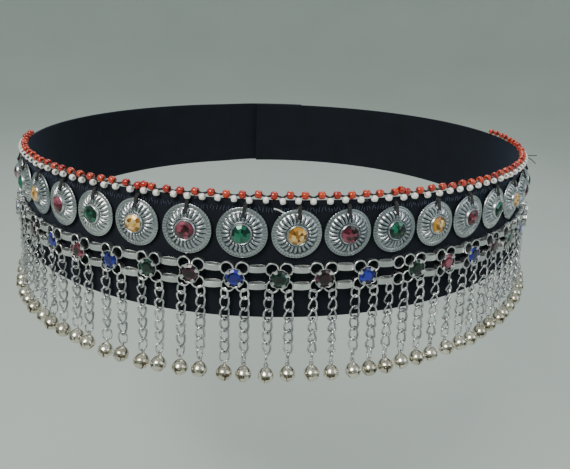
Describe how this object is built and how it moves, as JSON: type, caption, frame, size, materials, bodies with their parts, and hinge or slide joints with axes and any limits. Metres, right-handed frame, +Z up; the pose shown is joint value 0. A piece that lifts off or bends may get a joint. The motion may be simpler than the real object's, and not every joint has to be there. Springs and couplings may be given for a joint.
{
  "type": "belly dance hip belt",
  "caption": "Oval black cloth hip belt, worn shape, with beaded top edge, domed silver discs set with coloured stones, a jewelled metal girdle and a fringe of chain drops with small bells",
  "frame": {"origin": "middle of the oval of the top edge, where the wearer's hips hold the belt", "axes": "+Z up, the wearer's front towards -Y, +X to the right of a viewer in front, units metres"},
  "size_m": [0.3821, 0.333, 0.0995],
  "materials": {
    "band_cloth": "black plain-woven cotton, matt",
    "closure_tape": "black hook and loop tape, matt",
    "bead_red": "orange-red glass beads, glossy",
    "bead_white": "white opaque glass beads, glossy",
    "thread": "black cotton thread, matt",
    "disc_silver": "stamped silver-coloured metal, lightly tarnished",
    "girdle_silver": "bright plated metal, worn",
    "bell_silver": "warm silver-coloured plated metal, satin",
    "stone_green": "faceted green glass stone",
    "stone_amber": "faceted amber glass stone",
    "stone_red": "faceted red glass stone",
    "stone_blue": "faceted blue glass stone"
  },
  "bodies": {
    "belt": {"band": "band_cloth", "loop_tape": "closure_tape", "hook_tape": "closure_tape", "edge_beading": "bead_red", "disc_01": "disc_silver", "disc_02": "disc_silver", "disc_03": "disc_silver", "disc_04": "disc_silver", "disc_05": "disc_silver", "disc_06": "disc_silver", "disc_07": "disc_silver", "disc_08": "disc_silver", "disc_09": "disc_silver", "disc_10": "disc_silver", "disc_11": "disc_silver", "disc_12": "disc_silver", "disc_13": "disc_silver", "disc_14": "disc_silver", "disc_15": "disc_silver", "disc_16": "disc_silver", "disc_17": "disc_silver", "disc_18": "disc_silver", "disc_19": "disc_silver", "disc_20": "disc_silver", "disc_21": "disc_silver", "girdle_left": "girdle_silver", "girdle_right": "girdle_silver"},
    "drops_01": {"fringe_01": "bell_silver"},
    "drops_02": {"fringe_02": "bell_silver"},
    "drops_03": {"fringe_03": "bell_silver"},
    "drops_04": {"fringe_04": "bell_silver"},
    "drops_05": {"fringe_05": "bell_silver"},
    "drops_06": {"fringe_06": "bell_silver"},
    "drops_07": {"fringe_07": "bell_silver"},
    "drops_08": {"fringe_08": "bell_silver"},
    "drops_09": {"fringe_09": "bell_silver"},
    "drops_10": {"fringe_10": "bell_silver"},
    "drops_11": {"fringe_11": "bell_silver"},
    "drops_12": {"fringe_12": "bell_silver"},
    "drops_13": {"fringe_13": "bell_silver"},
    "drops_14": {"fringe_14": "bell_silver"},
    "drops_15": {"fringe_15": "bell_silver"},
    "drops_16": {"fringe_16": "bell_silver"},
    "drops_17": {"fringe_17": "bell_silver"},
    "drops_18": {"fringe_18": "bell_silver"},
    "drops_19": {"fringe_19": "bell_silver"},
    "drops_20": {"fringe_20": "bell_silver"},
    "drops_21": {"fringe_21": "bell_silver"},
    "drops_22": {"fringe_22": "bell_silver"},
    "drops_23": {"fringe_23": "bell_silver"},
    "drops_24": {"fringe_24": "bell_silver"},
    "drops_single": {"fringe_single": "bell_silver"}
  },
  "joints": [
    {"name": "swing_01", "type": "hinge", "parent": "belt", "child": "drops_01", "pos_m": [-0.17941, -0.02356, -0.0456], "axis": [-0.1675, 0.9859, 0], "range_deg": [0, 60]},
    {"name": "swing_02", "type": "hinge", "parent": "belt", "child": "drops_02", "pos_m": [-0.17398, -0.04513, -0.0456], "axis": [-0.3182, 0.948, 0], "range_deg": [0, 60]},
    {"name": "swing_03", "type": "hinge", "parent": "belt", "child": "drops_03", "pos_m": [-0.16535, -0.06558, -0.0456], "axis": [-0.4566, 0.8897, 0], "range_deg": [0, 60]},
    {"name": "swing_04", "type": "hinge", "parent": "belt", "child": "drops_04", "pos_m": [-0.15385, -0.08448, -0.0456], "axis": [-0.5794, 0.815, 0], "range_deg": [0, 60]},
    {"name": "swing_05", "type": "hinge", "parent": "belt", "child": "drops_05", "pos_m": [-0.13985, -0.10154, -0.0456], "axis": [-0.685, 0.7286, 0], "range_deg": [0, 60]},
    {"name": "swing_06", "type": "hinge", "parent": "belt", "child": "drops_06", "pos_m": [-0.12377, -0.11656, -0.0456], "axis": [-0.7733, 0.634, 0], "range_deg": [0, 60]},
    {"name": "swing_07", "type": "hinge", "parent": "belt", "child": "drops_07", "pos_m": [-0.10597, -0.12939, -0.0456], "axis": [-0.8453, 0.5344, 0], "range_deg": [0, 60]},
    {"name": "swing_08", "type": "hinge", "parent": "belt", "child": "drops_08", "pos_m": [-0.08681, -0.13998, -0.0456], "axis": [-0.902, 0.4317, 0], "range_deg": [0, 60]},
    {"name": "swing_09", "type": "hinge", "parent": "belt", "child": "drops_09", "pos_m": [-0.0666, -0.14828, -0.0456], "axis": [-0.9449, 0.3275, 0], "range_deg": [0, 60]},
    {"name": "swing_10", "type": "hinge", "parent": "belt", "child": "drops_10", "pos_m": [-0.04563, -0.15428, -0.0456], "axis": [-0.9749, 0.2224, 0], "range_deg": [0, 60]},
    {"name": "swing_11", "type": "hinge", "parent": "belt", "child": "drops_11", "pos_m": [-0.02415, -0.15798, -0.0456], "axis": [-0.9931, 0.1171, 0], "range_deg": [0, 60]},
    {"name": "swing_12", "type": "hinge", "parent": "belt", "child": "drops_12", "pos_m": [-0.00241, -0.15938, -0.0456], "axis": [-0.9999, 0.0117, 0], "range_deg": [0, 60]},
    {"name": "swing_13", "type": "hinge", "parent": "belt", "child": "drops_13", "pos_m": [0.01935, -0.15849, -0.0456], "axis": [-0.9956, -0.0938, 0], "range_deg": [0, 60]},
    {"name": "swing_14", "type": "hinge", "parent": "belt", "child": "drops_14", "pos_m": [0.04675, -0.15402, -0.0456], "axis": [-0.9737, -0.228, 0], "range_deg": [0, 60]},
    {"name": "swing_15", "type": "hinge", "parent": "belt", "child": "drops_15", "pos_m": [0.0664, -0.14834, -0.0456], "axis": [-0.9452, -0.3265, 0], "range_deg": [0, 60]},
    {"name": "swing_16", "type": "hinge", "parent": "belt", "child": "drops_16", "pos_m": [0.08538, -0.14065, -0.0456], "axis": [-0.9055, -0.4242, 0], "range_deg": [0, 60]},
    {"name": "swing_17", "type": "hinge", "parent": "belt", "child": "drops_17", "pos_m": [0.10346, -0.13095, -0.0456], "axis": [-0.8538, -0.5207, 0], "range_deg": [0, 60]},
    {"name": "swing_18", "type": "hinge", "parent": "belt", "child": "drops_18", "pos_m": [0.12039, -0.11926, -0.0456], "axis": [-0.7888, -0.6147, 0], "range_deg": [0, 60]},
    {"name": "swing_19", "type": "hinge", "parent": "belt", "child": "drops_19", "pos_m": [0.13586, -0.10565, -0.0456], "axis": [-0.7096, -0.7047, 0], "range_deg": [0, 60]},
    {"name": "swing_20", "type": "hinge", "parent": "belt", "child": "drops_20", "pos_m": [0.14959, -0.09019, -0.0456], "axis": [-0.6153, -0.7883, 0], "range_deg": [0, 60]},
    {"name": "swing_21", "type": "hinge", "parent": "belt", "child": "drops_21", "pos_m": [0.16125, -0.07305, -0.0456], "axis": [-0.5058, -0.8626, 0], "range_deg": [0, 60]},
    {"name": "swing_22", "type": "hinge", "parent": "belt", "child": "drops_22", "pos_m": [0.1705, -0.05444, -0.0456], "axis": [-0.3819, -0.9242, 0], "range_deg": [0, 60]},
    {"name": "swing_23", "type": "hinge", "parent": "belt", "child": "drops_23", "pos_m": [0.17706, -0.03467, -0.0456], "axis": [-0.2456, -0.9694, 0], "range_deg": [0, 60]},
    {"name": "swing_24", "type": "hinge", "parent": "belt", "child": "drops_24", "pos_m": [0.18069, -0.01412, -0.0456], "axis": [-0.1006, -0.9949, 0], "range_deg": [0, 60]},
    {"name": "swing_single", "type": "hinge", "parent": "belt", "child": "drops_single", "pos_m": [0.03313, -0.15672, -0.0456], "axis": [-0.987, -0.1609, 0], "range_deg": [0, 60]}
  ]
}
